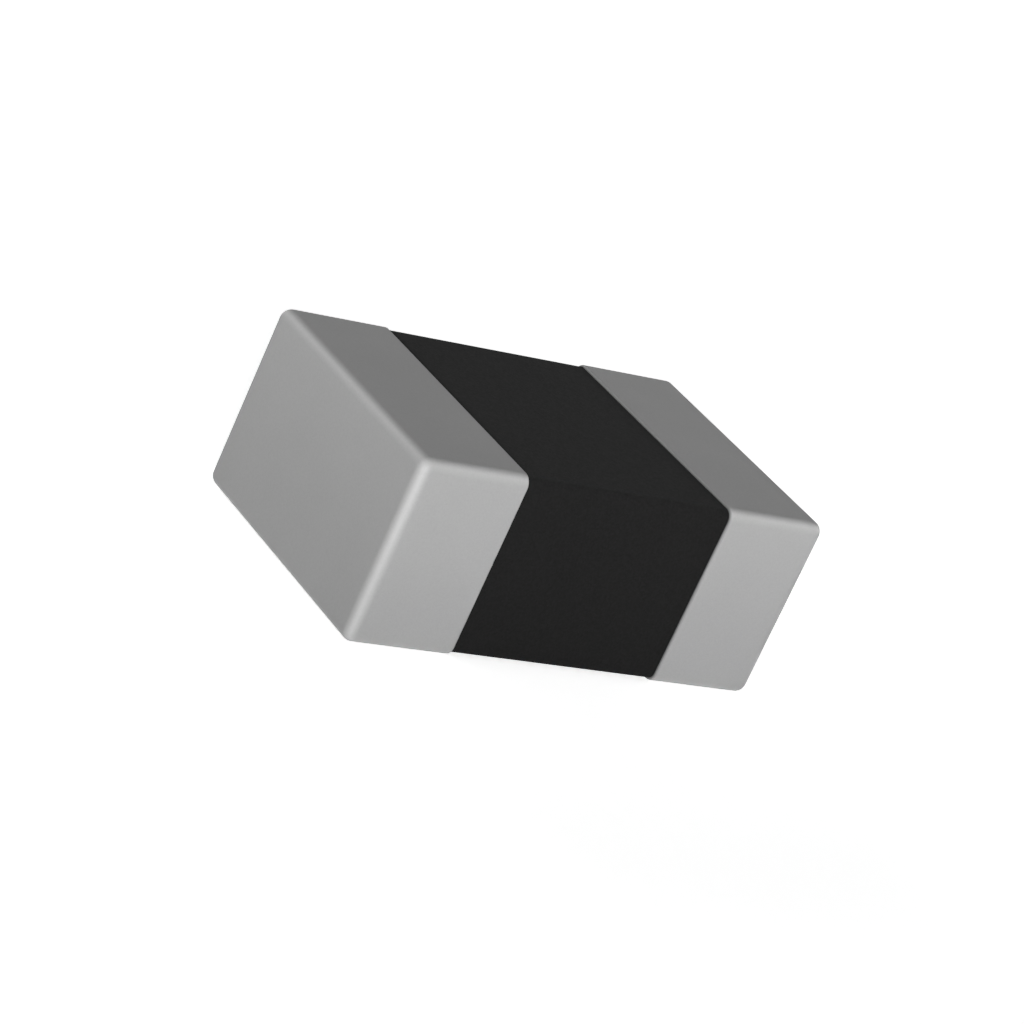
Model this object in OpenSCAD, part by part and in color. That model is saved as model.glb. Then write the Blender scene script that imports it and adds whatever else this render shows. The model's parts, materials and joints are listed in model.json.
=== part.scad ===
// Surface-mount chip resistor in the multilayer ceramic form, metric size 2012.
// A dark ceramic block holds printed electrodes that are joined to its left and right ends in turn.
// Each end is capped by fired silver, a nickel barrier and tin plating, every coat even over the last.
// Millimetres. The origin is the middle of the underside, +X runs along the chip and +Z is up.

/* [Chip] */
// Length over both terminals
chip_l = 2; // [1.6:0.05:3.2]
// Width over the terminal bands
chip_w = 1.25; // [0.8:0.05:2.5]
// Thickness over the terminal bands
chip_t = 0.8; // [0.5:0.05:1.6]
// Radius of the ceramic block's tumbled edges and corners
edge_r = 0.04; // [0.02:0.005:0.08]

/* [Terminals] */
// Reach of each terminal, from the end of the chip to the rim of its band
band_l = 0.5; // [0.25:0.05:0.7]
// Fired silver over the end of the block
silver_end_t = 0.018; // [0.01:0.002:0.04]
// Fired silver on the four sides under the band
silver_band_t = 0.004; // [0.002:0.001:0.01]
// Nickel barrier over the silver
nickel_t = 0.002; // [0.001:0.001:0.005]
// Tin plating over the nickel
tin_t = 0.003; // [0.002:0.001:0.008]

/* [Inner electrodes] */
// Number of printed electrodes, joined to the left and right ends in turn
electrode_count = 6; // [2:1:10]
// Thickness of a printed electrode
electrode_t = 0.004; // [0.002:0.001:0.01]
// Ceramic below the lowest electrode and above the highest one
cover_t = 0.14; // [0.08:0.01:0.2]
// Ceramic beside each long edge of an electrode
side_margin = 0.2; // [0.1:0.01:0.3]
// Ceramic between the tip of an electrode and the far end of the block
tip_margin = 0.35; // [0.2:0.01:0.5]
// Radius of the two corners at the tip of an electrode
tip_r = 0.05; // [0.02:0.01:0.1]

/* [Hidden] */
$fn = 64;

// Coats from the ceramic outwards: how far each outer surface lies past the block's ends and sides
silver_coat = [silver_end_t, silver_band_t];
nickel_coat = silver_coat + [nickel_t, nickel_t];
tin_coat = nickel_coat + [tin_t, tin_t];

// Ceramic block left inside the terminals
block_l = chip_l - 2 * tin_coat[0];
block_w = chip_w - 2 * tin_coat[1];
block_t = chip_t - 2 * tin_coat[1];

// Flats of the four sides, between the axes of the rounded long edges
flat_w = block_w - 2 * edge_r;
flat_t = block_t - 2 * edge_r;

// Edge of the fired silver on the block: every rim is rounded about this line
band_edge_x = band_l - chip_l / 2 - tin_coat[1];

// Electrodes, evenly spaced between the two covers
electrode_l = block_l - tip_margin;
electrode_w = block_w - 2 * side_margin;
electrode_pitch = (block_t - 2 * cover_t - electrode_t) / (electrode_count - 1);

function electrode_name(i) = str("inner_electrode_", i + 1);

// Lifts what is drawn about the middle of the chip, so that the chip stands on z = 0
module at_mid_height() {
    translate([0, 0, chip_t / 2]) children();
}

// Side view of the ceramic block where one of its long edges is rounded, about the axis of that edge
module block_outline() {
    square([block_l - 2 * edge_r, 2 * edge_r], center = true);
    for (end = [-1, 1])
        translate([end * (block_l / 2 - edge_r), 0]) circle(edge_r);
}

// The same view of all that lies within one coat of the left terminal, with its rim rounded down onto
// the block
module cap_outline(coat) {
    end_t = coat[0];
    side_t = coat[1];
    outer_r = edge_r + side_t;
    nose_x = outer_r - end_t - block_l / 2;
    translate([nose_x, 0]) circle(outer_r);
    translate([nose_x, -outer_r]) square([band_edge_x - nose_x, 2 * outer_r]);
    for (side = [-1, 1])
        translate([band_edge_x, side * edge_r]) circle(side_t);
}

// Carries the outer half of a side view once round the chip: straight along the flats of the four sides,
// and a quarter turn about the axis of each long edge
module round_the_girth() {
    for (under = [0, 1]) mirror([0, 0, under])
        translate([0, 0, flat_t / 2]) rotate([90, 0, 0])
            linear_extrude(flat_w, center = true) outer_half() children();
    for (front = [0, 1]) mirror([0, front, 0])
        translate([0, flat_w / 2, 0])
            linear_extrude(flat_t, center = true) outer_half() children();
    for (under = [0, 1], front = [0, 1]) mirror([0, 0, under]) mirror([0, front, 0])
        translate([0, flat_w / 2, flat_t / 2]) rotate([90, 0, 90])
            rotate_extrude(angle = 90) mirror([1, -1, 0]) outer_half() children();
}

// The part of a side view that lies outside the axis of the long edge
module outer_half() {
    intersection() {
        children();
        translate([-chip_l, 0]) square([2 * chip_l, chip_t]);
    }
}

// Box between the flats of the four sides, from one place along the chip to another
module core(from_x, to_x) {
    translate([from_x, -flat_w / 2, -flat_t / 2]) cube([to_x - from_x, flat_w, flat_t]);
}

// The ceramic block before its electrodes are let in
module block() {
    core(-block_l / 2, block_l / 2);
    round_the_girth() block_outline();
}

// All that lies within one coat of the left terminal
module capped_end(coat) {
    core(-block_l / 2 - coat[0], band_edge_x);
    round_the_girth() cap_outline(coat);
}

// Left electrode on the middle plane; past_end lets the cut that seats it break through the block's end
module electrode_plate(past_end = 0) {
    start_x = -block_l / 2 - past_end;
    tip_x = electrode_l - block_l / 2;
    linear_extrude(electrode_t, center = true) {
        translate([start_x, -electrode_w / 2]) square([tip_x - tip_r - start_x, electrode_w]);
        translate([tip_x - tip_r, tip_r - electrode_w / 2]) square([tip_r, electrode_w - 2 * tip_r]);
        for (side = [-1, 1])
            translate([tip_x - tip_r, side * (electrode_w / 2 - tip_r)]) circle(tip_r);
    }
}

// Puts the plate at its level, counted from the underside, every second one facing the other way
module at_electrode(i) {
    level_z = (i - (electrode_count - 1) / 2) * electrode_pitch;
    translate([0, 0, level_z]) mirror([i % 2, 0, 0]) children();
}

module ceramic_body() {
    color("#262626") at_mid_height() difference() {
        block();
        for (i = [0 : electrode_count - 1]) at_electrode(i) electrode_plate(edge_r);
    }
}

module inner_electrode(i) {
    color("#c4bfb2") at_mid_height() at_electrode(i) electrode_plate();
}

module silver_base() {
    color("#d8d4c8") at_mid_height() difference() {
        capped_end(silver_coat);
        block();
    }
}

module nickel_barrier() {
    color("#a39c8c") at_mid_height() difference() {
        capped_end(nickel_coat);
        capped_end(silver_coat);
        block();
    }
}

module tin_plating() {
    color("#b4b4b4") at_mid_height() difference() {
        capped_end(tin_coat);
        capped_end(nickel_coat);
        block();
    }
}

// Right terminal, the mirror image of the left one
module at_right() {
    mirror([1, 0, 0]) children();
}

ceramic_body();
for (i = [0 : electrode_count - 1])
    inner_electrode(i);
silver_base();  // left_silver_base
at_right() silver_base();  // right_silver_base
nickel_barrier();  // left_nickel_barrier
at_right() nickel_barrier();  // right_nickel_barrier
tin_plating();  // left_tin_plating
at_right() tin_plating();  // right_tin_plating
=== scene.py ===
"""Looks of a surface-mount chip resistor: a dark ceramic block between two tin-plated terminals.

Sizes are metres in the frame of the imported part: +X runs along the chip, +Z is up, and the chip stands
on z = 0.
"""

import json
from functools import reduce
from math import cos, pi, radians, sin

import bpy
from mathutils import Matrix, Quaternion, Vector


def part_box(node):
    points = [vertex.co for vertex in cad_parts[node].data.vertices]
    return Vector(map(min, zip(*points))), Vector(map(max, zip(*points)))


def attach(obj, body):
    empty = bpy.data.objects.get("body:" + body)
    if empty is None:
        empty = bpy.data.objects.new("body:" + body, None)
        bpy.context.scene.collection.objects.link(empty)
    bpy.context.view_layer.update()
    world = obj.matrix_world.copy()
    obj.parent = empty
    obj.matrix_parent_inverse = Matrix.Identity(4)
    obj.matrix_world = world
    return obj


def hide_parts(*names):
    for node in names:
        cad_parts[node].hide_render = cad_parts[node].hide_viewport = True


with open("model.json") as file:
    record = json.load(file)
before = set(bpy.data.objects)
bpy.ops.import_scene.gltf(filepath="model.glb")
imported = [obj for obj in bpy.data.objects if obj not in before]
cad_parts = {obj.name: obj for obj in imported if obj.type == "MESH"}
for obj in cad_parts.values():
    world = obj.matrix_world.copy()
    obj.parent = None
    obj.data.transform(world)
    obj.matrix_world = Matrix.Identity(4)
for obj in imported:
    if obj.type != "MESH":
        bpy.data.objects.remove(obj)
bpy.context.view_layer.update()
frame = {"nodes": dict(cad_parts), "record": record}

MM = 0.001
UM = 0.000001

# The part: radii of its source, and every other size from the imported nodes
EDGE_R = 0.04 * MM
TIP_R = 0.05 * MM
ELECTRODES = sorted(n for n in frame["nodes"] if n.startswith("inner_electrode_"))

block_low, block_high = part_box("ceramic_body")
tin_low, tin_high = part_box("left_tin_plating")
nickel_low, nickel_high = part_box("left_nickel_barrier")
MID_Z = (block_low.z + block_high.z) / 2
HALF_FLAT_W = block_high.y - EDGE_R
HALF_FLAT_T = block_high.z - MID_Z - EDGE_R
TIN_SIDE_T = tin_high.z - block_high.z
NICKEL_SIDE_T = nickel_high.z - block_high.z
BAND_EDGE_X = tin_high.x - TIN_SIDE_T

# Steps in a quarter of a round edge, and how close two corners of a mesh lie when they are one
ROUND_STEPS = 16
WELD = 0.01 * UM

# The photograph's view: degrees round and above the chip, and the roll of the picture. The sensor and the
# lens are in millimetres, and the view is clipped at these shares of its distance.
VIEW_AZIMUTH = -39.83
VIEW_ELEVATION = 19.78
VIEW_ROLL = 24.82
VIEW_DISTANCE = 15.25 * MM
VIEW_AIM = Vector((-0.0118, -0.0074, 0.3631)) * MM
SENSOR = 36.0
LENS = 134.6
CLIP_NEAR = 0.01
CLIP_FAR = 100

# Light: each lamp is round, lies at the same distance and is given by degrees round and above the chip.
# A level of 1 renders a white board that is turned towards the lamp as white. The key has a grid that
# spreads its beam by a few degrees only, and is shifted to its own left and upwards.
LAMP_DISTANCE = 40 * MM
KEY = dict(azimuth=-33.5, elevation=8, size=14 * MM)
KEY_LEVEL = 1.41
KEY_SPREAD = 8
KEY_SHIFT = Vector((-0.4, 6.1, 0)) * MM
FILLS = {
    "right_fill": dict(azimuth=86, elevation=11.5, size=11 * MM),
    "rear_fill": dict(azimuth=184, elevation=11.5, size=11 * MM),
}
FILL_LEVEL = 0.4
AMBIENT_LEVEL = 0.08

# The floor glows towards white away from the chip, and less beside it, where shadows fall. The glow rises
# between two distances from the chip in millimetres.
FLOOR_HALF = 60 * MM
FLOOR_ALBEDO = 0.9
FLOOR_GLOW = (0.74, 0.94)
FLOOR_GLOW_REACH = (2, 6)


# Meshes

class Skin:
    """Faces whose corners carry the true facing of the surface, so that round edges shade smoothly."""

    def __init__(self):
        self.points = []
        self.places = {}
        self.faces = []
        self.facings = []

    def place(self, point):
        """Number of the mesh's corner at a point."""
        key = tuple(round(c / WELD) for c in point)
        if key not in self.places:
            self.places[key] = len(self.points)
            self.points.append(tuple(point))
        return self.places[key]

    def face(self, corners):
        """Adds a face of (point, facing) corners, and drops corners that fall together."""
        kept = []
        for point, facing in corners:
            index = self.place(point)
            if all(index != other for other, _ in kept):
                kept.append((index, facing))
        if len(kept) > 2:
            self.faces.append([index for index, _ in kept])
            self.facings.extend(facing for _, facing in kept)

    def build(self, name, material):
        mesh = bpy.data.meshes.new(name)
        mesh.from_pydata(self.points, [], self.faces)
        mesh.polygons.foreach_set("use_smooth", [True] * len(mesh.polygons))
        mesh.normals_split_custom_set([tuple(f) for f in self.facings])
        mesh.materials.append(material)
        piece = bpy.data.objects.new(name, mesh)
        bpy.context.scene.collection.objects.link(piece)
        return piece


def arc(centre_x, centre_reach, radius, start, end, hollow=False):
    """Stations (x, reach, facing x, facing reach) along a round stretch of a side view, in degrees."""
    sign = -1 if hollow else 1
    stations = []
    for i in range(ROUND_STEPS + 1):
        angle = radians(start + (end - start) * i / ROUND_STEPS)
        x = centre_x + radius * cos(angle)
        reach = centre_reach + radius * sin(angle)
        stations.append((x, reach, sign * cos(angle), sign * sin(angle)))
    return stations


def straight(start_x, end_x, reach, facing):
    """Stations at both ends of a stretch along the chip, which faces outwards (1) or inwards (-1)."""
    return [(start_x, reach, 0, facing), (end_x, reach, 0, facing)]


def girth(station, y_cuts, z_cuts):
    """Points and facings round the chip: its flats grown by the station's reach, with round corners."""
    x, reach, facing_x, facing_reach = station
    y_back = sorted(-y for y in y_cuts)
    z_back = sorted(-z for z in z_cuts)
    sides = [(0, z_cuts), (1, y_back), (2, z_back), (3, y_cuts)]
    halves = [(HALF_FLAT_W, HALF_FLAT_T), (HALF_FLAT_T, HALF_FLAT_W)]
    found = []
    for quarter, cuts in sides:
        out, along = halves[quarter % 2]
        turn = Quaternion((1, 0, 0), radians(90 * quarter))
        local = [(out + reach, cut, 1, 0) for cut in cuts]
        for i in range(ROUND_STEPS + 1):
            angle = radians(90 * i / ROUND_STEPS)
            local.append((out + reach * cos(angle), along + reach * sin(angle), cos(angle), sin(angle)))
        for y, z, facing_y, facing_z in local:
            point = turn @ Vector((x, y, z)) + Vector((0, 0, MID_Z))
            facing = turn @ Vector((facing_x, facing_reach * facing_y, facing_reach * facing_z))
            found.append((point, facing))
    return found


def sweep(skin, stretches, y_cuts=(), z_cuts=()):
    """Carries each stretch of a side view once round the chip."""
    for stretch in stretches:
        rings = [girth(station, y_cuts, z_cuts) for station in stretch]
        for near, far in zip(rings, rings[1:]):
            for i in range(len(near)):
                skin.face([near[i], far[i], far[i - 1], near[i - 1]])


def flat_end(skin, x, facing_x, y_levels, z_levels, is_open=lambda y, z: False):
    """Closes one end of the chip with the cells between the given levels, apart from the open ones."""
    facing = Vector((facing_x, 0, 0))
    for y0, y1 in zip(y_levels, y_levels[1:]):
        for z0, z1 in zip(z_levels, z_levels[1:]):
            if is_open((y0 + y1) / 2, (z0 + z1) / 2):
                continue
            corners = [(y0, z0), (y1, z0), (y1, z1), (y0, z1)]
            if facing_x < 0:
                corners.reverse()
            skin.face([(Vector((x, y, z + MID_Z)), facing) for y, z in corners])


def mirrored(skin):
    """The same faces at the other end of the chip."""
    other = Skin()
    start = 0
    for face in skin.faces:
        facings = skin.facings[start:start + len(face)]
        start += len(face)
        corners = [(Vector(skin.points[i]), Vector(f)) for i, f in zip(face, facings)]
        flip = [(Vector((-p.x, p.y, p.z)), Vector((-f.x, f.y, f.z))) for p, f in corners]
        other.face(reversed(flip))
    return other


def tin_cap():
    """The left terminal's outer coat: its outside, its rim on the ceramic and its inside on the nickel."""
    outer_r = EDGE_R + TIN_SIDE_T
    inner_r = EDGE_R + NICKEL_SIDE_T
    nose_x = tin_low.x + outer_r
    skin = Skin()
    sweep(skin, [
        arc(nose_x, 0, outer_r, 180, 90),
        straight(nose_x, BAND_EDGE_X, outer_r, 1),
        arc(BAND_EDGE_X, EDGE_R, TIN_SIDE_T, 90, 0),
        straight(BAND_EDGE_X + TIN_SIDE_T, BAND_EDGE_X + NICKEL_SIDE_T, EDGE_R, -1),
        arc(BAND_EDGE_X, EDGE_R, NICKEL_SIDE_T, 0, 90, hollow=True),
        straight(BAND_EDGE_X, nose_x, inner_r, -1),
        arc(nose_x, 0, inner_r, 90, 180, hollow=True),
    ])
    y_levels = [-HALF_FLAT_W, HALF_FLAT_W]
    z_levels = [-HALF_FLAT_T, HALF_FLAT_T]
    flat_end(skin, nose_x - outer_r, -1, y_levels, z_levels)
    flat_end(skin, nose_x - inner_r, 1, y_levels, z_levels)
    return skin


def seat(skin, low, high, from_left):
    """The pocket of one electrode, open at the end of the block that the electrode comes out of."""
    half_w = high.y
    mouth_x, tip_x = (low.x, high.x) if from_left else (high.x, low.x)
    inwards = 1 if from_left else -1
    round_x = tip_x - inwards * TIP_R
    outline = [(mouth_x, -half_w, Vector((0, 1, 0)))]
    for side in (-1, 1):
        for i in range(ROUND_STEPS + 1):
            angle = radians(90 * i / ROUND_STEPS if side > 0 else 90 - 90 * i / ROUND_STEPS)
            x = round_x + inwards * TIP_R * cos(angle)
            y = side * (half_w - TIP_R + TIP_R * sin(angle))
            outline.append((x, y, Vector((-inwards * cos(angle), -side * sin(angle), 0))))
    outline.append((mouth_x, half_w, Vector((0, -1, 0))))
    for (x0, y0, facing0), (x1, y1, facing1) in zip(outline, outline[1:]):
        wall = [
            (Vector((x0, y0, low.z)), facing0),
            (Vector((x0, y0, high.z)), facing0),
            (Vector((x1, y1, high.z)), facing1),
            (Vector((x1, y1, low.z)), facing1),
        ]
        skin.face(wall if from_left else reversed(wall))
    for z, facing_z in ((low.z, 1), (high.z, -1)):
        sheet = [(Vector((x, y, z)), Vector((0, 0, facing_z))) for x, y, _ in outline]
        skin.face(sheet if inwards == facing_z else reversed(sheet))


def ceramic_block():
    """The block with tumbled edges, and the seats of the electrodes that come out at its ends."""
    skin = Skin()
    boxes = [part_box(name) for name in ELECTRODES]
    half_w = boxes[0][1].y
    y_cuts = [-half_w, half_w]
    z_cuts = sorted(z - MID_Z for low, high in boxes for z in (low.z, high.z))
    sweep(skin, [
        arc(block_low.x + EDGE_R, 0, EDGE_R, 180, 90),
        straight(block_low.x + EDGE_R, block_high.x - EDGE_R, EDGE_R, 1),
        arc(block_high.x - EDGE_R, 0, EDGE_R, 90, 0),
    ], y_cuts, z_cuts)
    y_levels = [-HALF_FLAT_W, *y_cuts, HALF_FLAT_W]
    z_levels = [-HALF_FLAT_T, *z_cuts, HALF_FLAT_T]
    for end_x, facing_x in ((block_low.x, -1), (block_high.x, 1)):
        from_left = facing_x < 0
        seats = [b for b in boxes if (b[0].x + b[1].x < 0) == from_left]

        def is_open(y, z):
            return abs(y) < half_w and any(low.z < z + MID_Z < high.z for low, high in seats)

        flat_end(skin, end_x, facing_x, y_levels, z_levels, is_open)
        for low, high in seats:
            seat(skin, low, high, from_left)
    return skin


# Materials

# Power of the upward facing that the painted sheen, a paler shade of level faces, follows
LEVEL_FADE = 9

# Change of the roughness to either side, over patches of this many grains
ROUGH_CHANGE = 0.08
ROUGH_PATCH = 4


def new_material(name):
    """A material, its node tree and its shader."""
    material = bpy.data.materials.new(name)
    material.use_nodes = True
    tree = material.node_tree
    return material, tree, tree.nodes["Principled BSDF"]


def in_mm(tree):
    """Place on the part, in millimetres."""
    place = tree.nodes.new("ShaderNodeTexCoord")
    scale = tree.nodes.new("ShaderNodeVectorMath")
    scale.operation = "SCALE"
    scale.inputs["Scale"].default_value = 1 / MM
    tree.links.new(place.outputs["Object"], scale.inputs[0])
    return scale.outputs["Vector"]


def noise(tree, place, size_mm, detail=2.0):
    """Soft blotches about as large as size_mm, from 0 to 1."""
    node = tree.nodes.new("ShaderNodeTexNoise")
    node.inputs["Scale"].default_value = 1 / size_mm
    node.inputs["Detail"].default_value = detail
    tree.links.new(place, node.inputs["Vector"])
    return node.outputs["Fac"]


def grains(tree, place, size_mm):
    """Cells about as large as size_mm: a grey of its own for each, and the distance from its middle."""
    node = tree.nodes.new("ShaderNodeTexVoronoi")
    node.inputs["Scale"].default_value = 1 / size_mm
    tree.links.new(place, node.inputs["Vector"])
    return node.outputs["Color"], node.outputs["Distance"]


def spread(tree, value, low, high, start=0.0, end=1.0):
    """Maps start to end onto low to high, and keeps to that range."""
    node = tree.nodes.new("ShaderNodeMapRange")
    node.inputs["From Min"].default_value = start
    node.inputs["From Max"].default_value = end
    node.inputs["To Min"].default_value = low
    node.inputs["To Max"].default_value = high
    tree.links.new(value, node.inputs["Value"])
    return node.outputs["Result"]


def combine(tree, operation, first, second):
    """The outcome of one operation on two values."""
    node = tree.nodes.new("ShaderNodeMath")
    node.operation = operation
    tree.links.new(first, node.inputs[0])
    tree.links.new(second, node.inputs[1])
    return node.outputs["Value"]


def tinted(tree, value, colour):
    """A colour made lighter or darker by a factor."""
    node = tree.nodes.new("ShaderNodeVectorMath")
    node.operation = "SCALE"
    node.inputs[0].default_value = colour
    tree.links.new(value, node.inputs["Scale"])
    return node.outputs["Vector"]


def facings(tree):
    """How much the surface faces along x, y and z of the part, from 0 to 1 each."""
    place = tree.nodes.new("ShaderNodeTexCoord")
    size = tree.nodes.new("ShaderNodeVectorMath")
    size.operation = "ABSOLUTE"
    apart = tree.nodes.new("ShaderNodeSeparateXYZ")
    tree.links.new(place.outputs["Normal"], size.inputs[0])
    tree.links.new(size.outputs["Vector"], apart.inputs[0])
    return apart.outputs


def round_edges(tree, start_angle, full_angle):
    """0 on flat faces square to the part, and 1 where a round edge has turned past the full angle."""
    x, y, z = facings(tree)
    square = combine(tree, "MAXIMUM", combine(tree, "MAXIMUM", x, y), z)
    return spread(tree, square, 1, 0, start=cos(radians(full_angle)), end=cos(radians(start_angle)))


def level_faces(tree):
    """1 on the top and the underside, fading to 0 where an edge turns towards the sides."""
    node = tree.nodes.new("ShaderNodeMath")
    node.operation = "POWER"
    node.inputs[1].default_value = LEVEL_FADE
    tree.links.new(facings(tree)[2], node.inputs[0])
    return node.outputs["Value"]


def rim_shade(tree, place, share):
    """Painted shade: 1 on a terminal, falling to the given share where its outer coat ends on the ceramic.
    """
    apart = tree.nodes.new("ShaderNodeSeparateXYZ")
    size = tree.nodes.new("ShaderNodeMath")
    size.operation = "ABSOLUTE"
    tree.links.new(place, apart.inputs[0])
    tree.links.new(apart.outputs["X"], size.inputs[0])
    return spread(tree, size.outputs["Value"], share, 1, start=-tin_high.x / MM, end=-BAND_EDGE_X / MM)


def relief(tree, shader, height):
    """Bump from a height in metres."""
    node = tree.nodes.new("ShaderNodeBump")
    node.inputs["Distance"].default_value = 1
    tree.links.new(height, node.inputs["Height"])
    tree.links.new(node.outputs["Normal"], shader.inputs["Normal"])


def grainy(name, colour, metallic, roughness, specular, grain_mm, contrast, depth, blotch_mm, mottle, wave,
           rub_and_highlight_angles, burnish, edge_highlight, rim=1, level_sheen=1):
    """A fine-grained surface: each grain has a grey of its own, over soft larger blotches and waves.

    Contrast and mottle are the shares by which grains and blotches change the colour. Edge highlight is
    the share by which round edges are painted lighter, a painted highlight, and burnish is the share of
    roughness that the rubbing takes away, both between two angles of the edge. Depth and wave are heights
    in metres. A rim below 1 darkens the colour where a terminal's coat ends on the ceramic, painted shade
    that hides the lit rim, and level sheen above 1 paints the top and the underside paler, a painted
    sheen.
    """
    material, tree, shader = new_material(name)
    place = in_mm(tree)
    edge = round_edges(tree, *rub_and_highlight_angles)
    grey, distance = grains(tree, place, grain_mm)
    blotch = noise(tree, place, blotch_mm)
    factors = [
        spread(tree, grey, 1 - contrast, 1 + contrast),
        spread(tree, blotch, 1 - mottle, 1 + mottle),
        # painted highlight: round edges are lighter by this share
        spread(tree, edge, 1, 1 + edge_highlight),
    ]
    # painted shade: the colour darkens where a terminal's coat ends on the ceramic, over its lit rim
    if rim < 1:
        factors.append(rim_shade(tree, place, rim))
    # painted sheen: the top and the underside are paler
    if level_sheen > 1:
        factors.append(spread(tree, level_faces(tree), 1, level_sheen))
    shade = reduce(lambda first, second: combine(tree, "MULTIPLY", first, second), factors)
    tree.links.new(tinted(tree, shade, colour), shader.inputs["Base Color"])
    patches = noise(tree, place, ROUGH_PATCH * grain_mm)
    uneven = spread(tree, patches, roughness - ROUGH_CHANGE, roughness + ROUGH_CHANGE)
    rubbed_rough = combine(tree, "MULTIPLY", uneven, spread(tree, edge, 1, 1 - burnish))
    tree.links.new(rubbed_rough, shader.inputs["Roughness"])
    shader.inputs["Metallic"].default_value = metallic
    shader.inputs["Specular IOR Level"].default_value = specular
    grain_height = spread(tree, distance, 0, depth)
    wave_height = spread(tree, noise(tree, place, blotch_mm, detail=0.0), 0, wave)
    relief(tree, shader, combine(tree, "ADD", grain_height, wave_height))
    return material


# Stage

def seen(tree):
    """1 for rays that show the background: from the camera, by reflection or through glass."""
    path = tree.nodes.new("ShaderNodeLightPath")
    glossy = combine(tree, "MAXIMUM", path.outputs["Is Camera Ray"], path.outputs["Is Glossy Ray"])
    return combine(tree, "MAXIMUM", glossy, path.outputs["Is Transmission Ray"])


def make_world():
    """White where it is seen, and a weak even light on the chip."""
    world = bpy.data.worlds.new("studio")
    world.use_nodes = True
    tree = world.node_tree
    background = tree.nodes["Background"]
    background.inputs["Color"].default_value = (1, 1, 1, 1)
    tree.links.new(spread(tree, seen(tree), AMBIENT_LEVEL, 1), background.inputs["Strength"])
    bpy.context.scene.world = world


def make_floor():
    """A plain white board under the chip."""
    mesh = bpy.data.meshes.new("floor")
    h = FLOOR_HALF
    mesh.from_pydata([(-h, -h, 0), (h, -h, 0), (h, h, 0), (-h, h, 0)], [], [(0, 1, 2, 3)])
    material, tree, shader = new_material("white_board")
    shader.inputs["Base Color"].default_value = (FLOOR_ALBEDO, FLOOR_ALBEDO, FLOOR_ALBEDO, 1)
    shader.inputs["Roughness"].default_value = 1
    shader.inputs["Specular IOR Level"].default_value = 0
    shader.inputs["Emission Color"].default_value = (1, 1, 1, 1)
    away = tree.nodes.new("ShaderNodeVectorMath")
    away.operation = "LENGTH"
    tree.links.new(in_mm(tree), away.inputs[0])
    glow = spread(tree, away.outputs["Value"], *FLOOR_GLOW, *FLOOR_GLOW_REACH)
    tree.links.new(combine(tree, "MULTIPLY", glow, seen(tree)), shader.inputs["Emission Strength"])
    mesh.materials.append(material)
    floor = bpy.data.objects.new("floor", mesh)
    bpy.context.scene.collection.objects.link(floor)


def direction(azimuth, elevation):
    """Unit vector from the chip towards a place round and above it, in degrees."""
    a, e = radians(azimuth), radians(elevation)
    return Vector((sin(a) * cos(e), -cos(a) * cos(e), sin(e)))


def make_lamp(name, azimuth, elevation, size):
    """A round soft lamp that faces the chip."""
    data = bpy.data.lights.new(name, "AREA")
    data.shape = "DISK"
    data.size = size
    lamp = bpy.data.objects.new(name, data)
    towards = direction(azimuth, elevation)
    lamp.location = Vector((0, 0, MID_Z)) + towards * LAMP_DISTANCE
    lamp.rotation_mode = "QUATERNION"
    lamp.rotation_quaternion = towards.to_track_quat("Z", "Y")
    lamp.visible_camera = False
    bpy.context.scene.collection.objects.link(lamp)
    return lamp


def make_fills():
    """Weaker lamps for the sides that the key doesn't reach."""
    for name, place in FILLS.items():
        lamp = make_lamp(name, **place)
        lamp.data.energy = FILL_LEVEL * (pi * LAMP_DISTANCE) ** 2


def make_key():
    """The main lamp has a grid that keeps its beam narrow, and shines a little over the chip, so that the
    faces darken towards the floor."""
    lamp = make_lamp("key", **KEY)
    lamp.data.spread = radians(KEY_SPREAD)
    lamp.data.energy = KEY_LEVEL * (pi * KEY["size"] / 2) ** 2
    lamp.location += lamp.rotation_quaternion @ KEY_SHIFT


def make_camera():
    """The photograph's camera, fitted to the edges of the chip."""
    data = bpy.data.cameras.new("camera")
    data.sensor_width = SENSOR
    data.lens = LENS
    data.clip_start = CLIP_NEAR * VIEW_DISTANCE
    data.clip_end = CLIP_FAR * VIEW_DISTANCE
    camera = bpy.data.objects.new("camera", data)
    back = direction(VIEW_AZIMUTH, VIEW_ELEVATION)
    roll = Quaternion((0, 0, 1), radians(VIEW_ROLL))
    camera.location = VIEW_AIM + back * VIEW_DISTANCE
    camera.rotation_mode = "QUATERNION"
    camera.rotation_quaternion = back.to_track_quat("Z", "Y") @ roll
    bpy.context.scene.collection.objects.link(camera)
    bpy.context.scene.camera = camera


# Finishes and pieces

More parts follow.
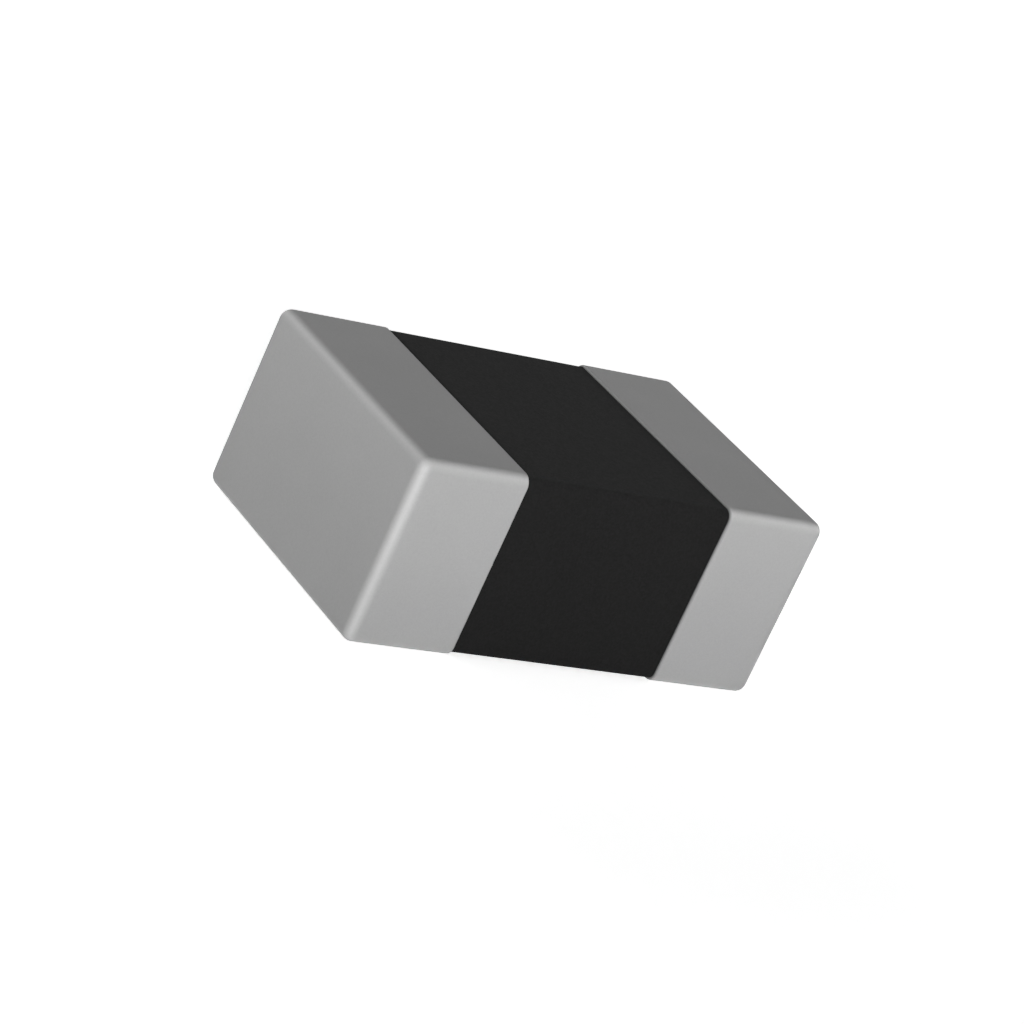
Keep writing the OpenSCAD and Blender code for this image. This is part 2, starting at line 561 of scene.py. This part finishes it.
FINISHES = {
    "dark_ceramic": dict(
        colour=(0.0158, 0.0158, 0.0158), metallic=0, roughness=0.7, specular=0.01,
        grain_mm=0.008, contrast=0.12, depth=0.4 * UM, blotch_mm=0.5, mottle=0.05, wave=1 * UM,
        rub_and_highlight_angles=(5, 35), burnish=0, edge_highlight=0.08, level_sheen=2.12,
    ),
    "matt_tin": dict(
        colour=(0.386, 0.386, 0.386), metallic=0.05, roughness=0.6, specular=0.05,
        grain_mm=0.006, contrast=0.03, depth=0.15 * UM, blotch_mm=0.3, mottle=0.03, wave=3 * UM,
        rub_and_highlight_angles=(8, 40), burnish=0.1, edge_highlight=0.26, rim=0.35,
    ),
    "nickel": dict(
        colour=(0.41, 0.37, 0.30), metallic=1, roughness=0.35, specular=0.5,
        grain_mm=0.004, contrast=0.04, depth=0.1 * UM, blotch_mm=0.25, mottle=0.03, wave=1 * UM,
        rub_and_highlight_angles=(8, 30), burnish=0.2, edge_highlight=0.1,
    ),
    "fired_silver": dict(
        colour=(0.72, 0.69, 0.60), metallic=1, roughness=0.45, specular=0.5,
        grain_mm=0.010, contrast=0.06, depth=0.4 * UM, blotch_mm=0.3, mottle=0.04, wave=3 * UM,
        rub_and_highlight_angles=(8, 30), burnish=0.1, edge_highlight=0.05,
    ),
    "printed_silver": dict(
        colour=(0.57, 0.54, 0.46), metallic=1, roughness=0.5, specular=0.5,
        grain_mm=0.005, contrast=0.06, depth=0.2 * UM, blotch_mm=0.2, mottle=0.04, wave=0.5 * UM,
        rub_and_highlight_angles=(8, 30), burnish=0.1, edge_highlight=0,
    ),
}
MATERIALS = {slot: grainy(slot, **finish) for slot, finish in FINISHES.items()}

for sub_part in frame["record"]["subparts"]:
    node = frame["nodes"][sub_part["node"]]
    node.data.materials.clear()
    node.data.materials.append(MATERIALS[sub_part["material_slot"]])

left_cap = tin_cap()
SKINS = [
    ("ceramic_skin", ceramic_block(), "ceramic_body", "dark_ceramic"),
    ("left_tin_skin", left_cap, "left_tin_plating", "matt_tin"),
    ("right_tin_skin", mirrored(left_cap), "right_tin_plating", "matt_tin"),
]
for name, skin, stands_for, slot in SKINS:
    piece = skin.build(name, MATERIALS[slot])
    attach(piece, "root")
    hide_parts(stands_for)

make_world()
make_floor()
make_key()
make_fills()
make_camera()
bpy.context.scene.view_settings.view_transform = "Standard"
